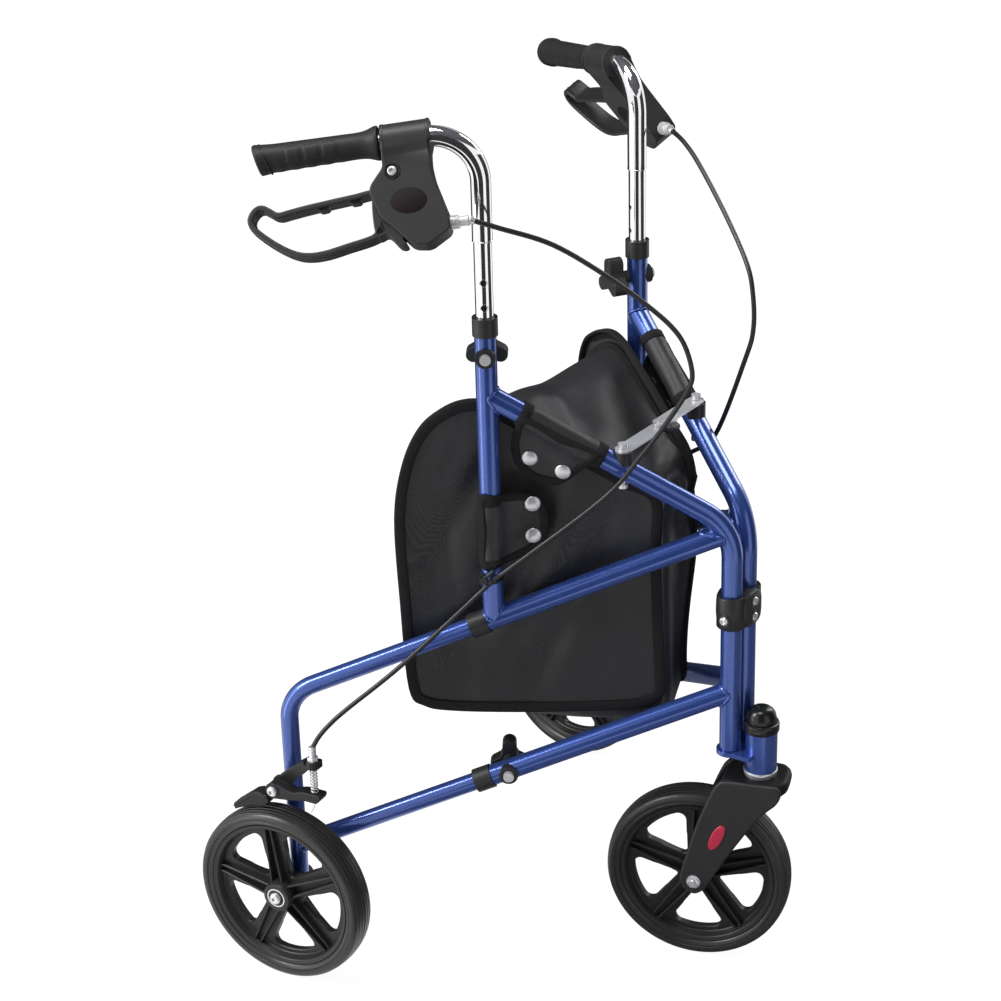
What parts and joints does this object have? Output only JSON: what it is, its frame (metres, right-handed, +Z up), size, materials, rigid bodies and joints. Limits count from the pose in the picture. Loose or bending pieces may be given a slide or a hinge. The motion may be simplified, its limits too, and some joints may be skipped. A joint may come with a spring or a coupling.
{
  "type": "three wheel rollator",
  "caption": "Folding walking frame on wheels with height-set handles, loop hand brakes, a swivelling front fork and a hanging carry bag.",
  "frame": {"origin": "on the floor, under the middle of the object's box", "axes": "+X to the walker's right, +Y forwards, +Z up"},
  "size_m": [0.6288, 0.5552, 0.9341],
  "materials": {
    "blue_paint": "metallic gloss",
    "chrome": "polished",
    "zinc": "bright zinc",
    "black_plastic": "satin",
    "black_metal": "satin",
    "grip_rubber": "matte",
    "cable_cover": "satin",
    "tyre": "matte",
    "bag_vinyl": "coated cloth"
  },
  "bodies": {
    "base": {"steering_head": "blue_paint", "hinge_clamp": "black_plastic", "clamp_screws": "zinc", "steering_cap": "black_plastic", "bag": "bag_vinyl"},
    "caster": {"fork": "black_plastic", "fork_stem": "zinc", "front_axle": "zinc"},
    "front_wheel": {"front_tyre": "tyre", "front_rim": "black_plastic", "front_bearings": "zinc"},
    "right_frame": {"right_main_tube": "blue_paint", "right_post_tube": "blue_paint", "right_middle_tube": "blue_paint", "right_lower_tube": "blue_paint", "right_tube_collars": "black_plastic", "right_frame_bolts": "zinc", "right_brake_cable": "cable_cover"},
    "right_handle": {"right_handle_tube": "chrome", "right_grip": "grip_rubber", "right_brake_housing": "black_plastic", "right_housing_fittings": "zinc"},
    "right_lever": {"right_brake_lever": "black_plastic"},
    "right_leg": {"right_rear_leg": "blue_paint", "right_leg_brace": "blue_paint", "right_brake_bracket": "black_metal", "right_leg_fasteners": "zinc", "right_brake_spring": "zinc"},
    "right_brake": {"right_brake_arm": "black_metal"},
    "right_wheel": {"right_tyre": "tyre", "right_rim": "black_plastic", "right_bearings": "zinc"},
    "right_post_knob": {"right_handle_knob": "black_plastic"},
    "right_rail_knob": {"right_leg_knob": "black_plastic"},
    "right_stay": {"right_stay_link": "zinc"},
    "left_frame": {"left_main_tube": "blue_paint", "left_post_tube": "blue_paint", "left_middle_tube": "blue_paint", "left_lower_tube": "blue_paint", "left_tube_collars": "black_plastic", "left_frame_bolts": "zinc", "left_brake_cable": "cable_cover"},
    "left_handle": {"left_handle_tube": "chrome", "left_grip": "grip_rubber", "left_brake_housing": "black_plastic", "left_housing_fittings": "zinc"},
    "left_lever": {"left_brake_lever": "black_plastic"},
    "left_leg": {"left_rear_leg": "blue_paint", "left_leg_brace": "blue_paint", "left_brake_bracket": "black_metal", "left_leg_fasteners": "zinc", "left_brake_spring": "zinc"},
    "left_brake": {"left_brake_arm": "black_metal"},
    "left_wheel": {"left_tyre": "tyre", "left_rim": "black_plastic", "left_bearings": "zinc"},
    "left_post_knob": {"left_handle_knob": "black_plastic"},
    "left_rail_knob": {"left_leg_knob": "black_plastic"},
    "left_stay": {"left_stay_link": "zinc"}
  },
  "joints": [
    {"name": "caster_swivel", "type": "hinge", "parent": "base", "child": "caster", "pos_m": [0, 0.24056, 0.226], "axis": [0, 0, 1], "continuous": true},
    {"name": "front_wheel_spin", "type": "hinge", "parent": "caster", "child": "front_wheel", "pos_m": [0.01955, 0.17857, 0.1], "axis": [0.9537, 0.3007, 0], "continuous": true},
    {"name": "right_fold", "type": "hinge", "parent": "base", "child": "right_frame", "pos_m": [0.015, 0.21156, 0.256], "axis": [0, 0, -1], "range_deg": [0, 22], "deforming": ["bag"]},
    {"name": "right_stay_turn", "type": "hinge", "parent": "right_frame", "child": "right_stay", "pos_m": [0.07329, 0.11828, 0.593], "axis": [0, 0, -1], "range_deg": [0, 40.5]},
    {"name": "right_handle_slide", "type": "slide", "parent": "right_frame", "child": "right_handle", "axis": [0, 0, 1], "range_m": [-0.0762, 0.0508], "deforming": ["right_brake_cable"]},
    {"name": "right_lever_squeeze", "type": "hinge", "parent": "right_handle", "child": "right_lever", "pos_m": [0.21268, -0.03673, 0.85281], "axis": [-0.7625, -0.3972, -0.5106], "range_deg": [0, 9], "stiffness_Nm_per_rad": 4, "springref_deg": -5.73},
    {"name": "right_leg_slide", "type": "slide", "parent": "right_frame", "child": "right_leg", "axis": [0.493, -0.789, -0.3665], "range_m": [0, 0.08], "deforming": ["right_brake_cable"]},
    {"name": "right_brake_turn", "type": "hinge", "parent": "right_leg", "child": "right_brake", "pos_m": [0.25958, -0.18238, 0.224], "axis": [0.9954, 0.0958, 0], "range_deg": [0, 3], "deforming": ["right_brake_spring"]},
    {"name": "right_wheel_spin", "type": "hinge", "parent": "right_leg", "child": "right_wheel", "pos_m": [0.28866, -0.17656, 0.1], "axis": [0.9954, 0.0958, 0], "continuous": true},
    {"name": "right_post_knob_turn", "type": "hinge", "parent": "right_frame", "child": "right_post_knob", "pos_m": [0.14403, 0.00506, 0.6965], "axis": [-0.848, -0.5299, 0], "continuous": true},
    {"name": "right_rail_knob_turn", "type": "hinge", "parent": "right_frame", "child": "right_rail_knob", "pos_m": [0.13794, 0.01481, 0.23111], "axis": [-0.848, -0.5299, 0], "continuous": true},
    {"name": "left_fold", "type": "hinge", "parent": "base", "child": "left_frame", "pos_m": [-0.015, 0.21156, 0.256], "axis": [0, 0, 1], "range_deg": [0, 22], "deforming": ["bag"]},
    {"name": "left_stay_turn", "type": "hinge", "parent": "left_frame", "child": "left_stay", "pos_m": [-0.07329, 0.11828, 0.593], "axis": [0, 0, 1], "range_deg": [0, 40.5]},
    {"name": "left_handle_slide", "type": "slide", "parent": "left_frame", "child": "left_handle", "axis": [0, 0, 1], "range_m": [-0.0762, 0.0508], "deforming": ["left_brake_cable"]},
    {"name": "left_lever_squeeze", "type": "hinge", "parent": "left_handle", "child": "left_lever", "pos_m": [-0.21268, -0.03673, 0.85281], "axis": [-0.7625, 0.3972, 0.5106], "range_deg": [0, 9], "stiffness_Nm_per_rad": 4, "springref_deg": -5.73},
    {"name": "left_leg_slide", "type": "slide", "parent": "left_frame", "child": "left_leg", "axis": [-0.493, -0.789, -0.3665], "range_m": [0, 0.08], "deforming": ["left_brake_cable"]},
    {"name": "left_brake_turn", "type": "hinge", "parent": "left_leg", "child": "left_brake", "pos_m": [-0.25958, -0.18238, 0.224], "axis": [0.9954, -0.0958, 0], "range_deg": [0, 3], "deforming": ["left_brake_spring"]},
    {"name": "left_wheel_spin", "type": "hinge", "parent": "left_leg", "child": "left_wheel", "pos_m": [-0.28866, -0.17656, 0.1], "axis": [0.9954, -0.0958, 0], "continuous": true},
    {"name": "left_post_knob_turn", "type": "hinge", "parent": "left_frame", "child": "left_post_knob", "pos_m": [-0.14403, 0.00506, 0.6965], "axis": [-0.848, 0.5299, 0], "continuous": true},
    {"name": "left_rail_knob_turn", "type": "hinge", "parent": "left_frame", "child": "left_rail_knob", "pos_m": [-0.13794, 0.01481, 0.23111], "axis": [-0.848, 0.5299, 0], "continuous": true}
  ],
  "couplings": [
    {"joint": "right_brake_turn", "follows": "right_lever_squeeze", "ratio": 0.33333},
    {"joint": "right_stay_turn", "follows": "right_fold", "ratio": 1.83},
    {"joint": "left_brake_turn", "follows": "left_lever_squeeze", "ratio": 0.33333},
    {"joint": "left_stay_turn", "follows": "right_fold", "ratio": 1.83},
    {"joint": "left_fold", "follows": "right_fold", "ratio": 1}
  ]
}
